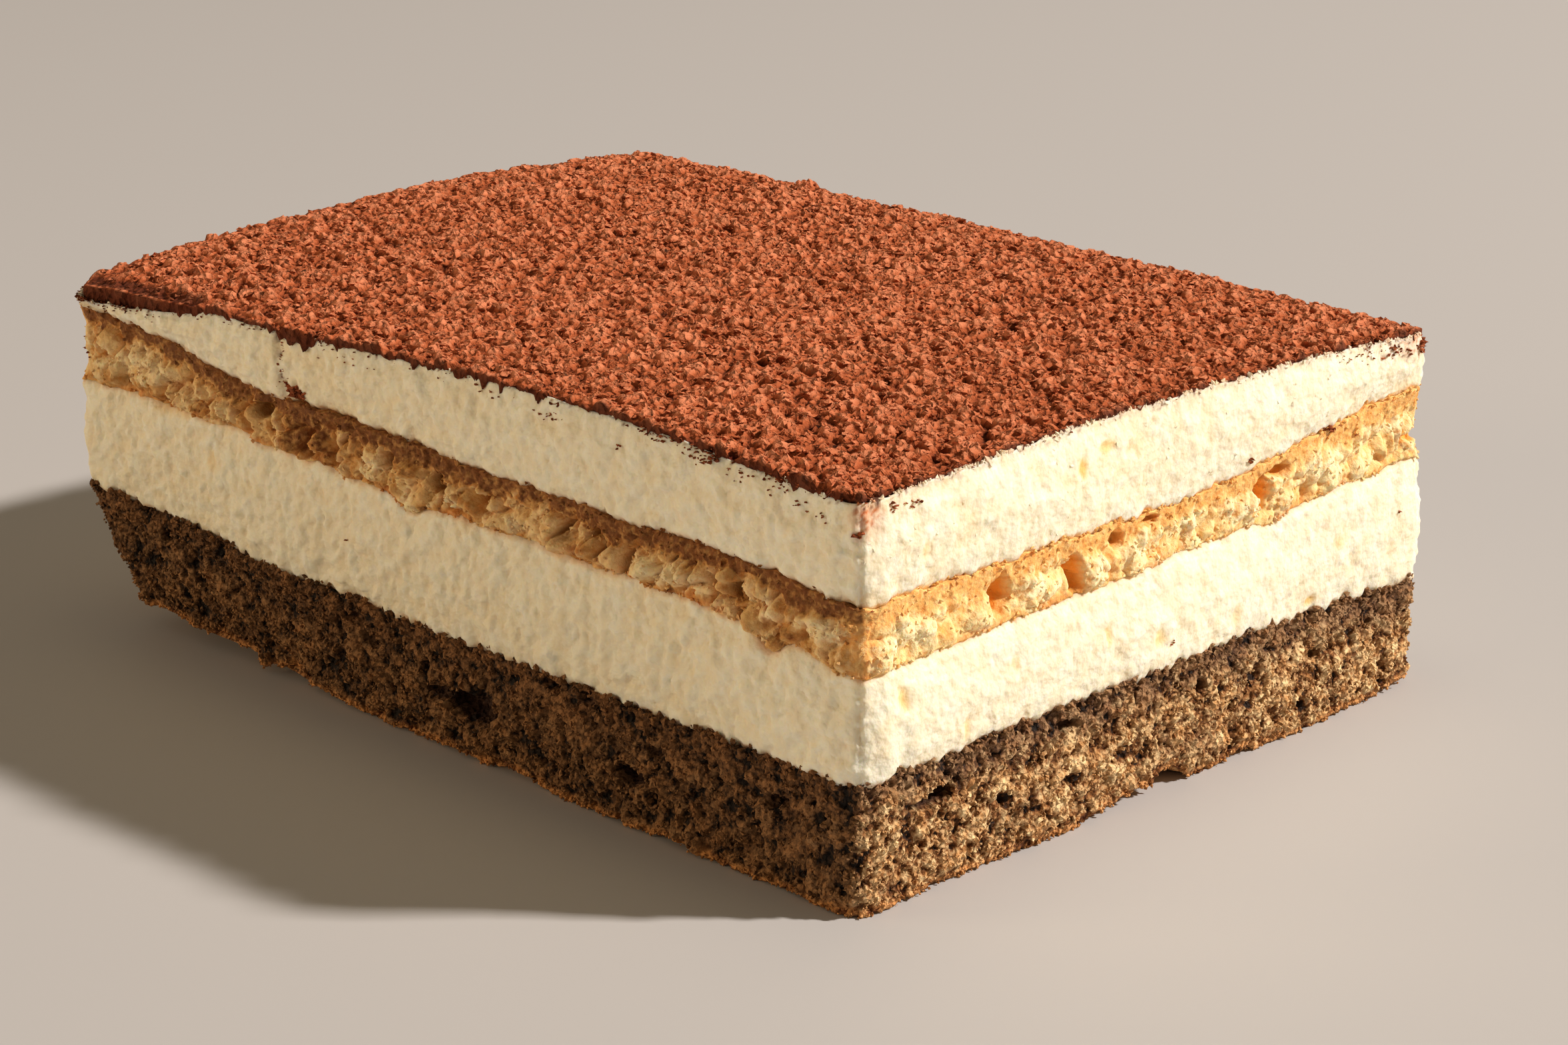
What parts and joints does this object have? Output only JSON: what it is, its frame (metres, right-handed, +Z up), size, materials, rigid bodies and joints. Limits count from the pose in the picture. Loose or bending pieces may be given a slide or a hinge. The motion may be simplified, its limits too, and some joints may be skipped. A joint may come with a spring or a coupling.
{
  "type": "tiramisu portion",
  "caption": "Block-cut portion of tiramisu: a dark cocoa sponge base, pale mascarpone cream, coffee-soaked biscuit, more cream and a thick dusting of cocoa on top.",
  "frame": {"origin": "bottom centre of the portion's box, on the surface it rests on", "axes": "+X along the long side, +Y along the short side away from the long side that faces the viewer, +Z up"},
  "size_m": [0.1272, 0.0942, 0.0444],
  "materials": {
    "cocoa_sponge": "dark brown open crumb, damp at the top, with a thin golden baked skin underneath",
    "cream": "ivory whipped cream, finely torn where it was cut, soft sheen",
    "coffee_biscuit": "golden open crumb, soaked coffee brown along its top and bottom",
    "cocoa_powder": "dry clumped cocoa powder, fully matt"
  },
  "bodies": {
    "root": {"cocoa_sponge_base": "cocoa_sponge", "lower_cream": "cream", "coffee_biscuit": "coffee_biscuit", "upper_cream": "cream", "cocoa_dusting": "cocoa_powder"}
  },
  "joints": []
}
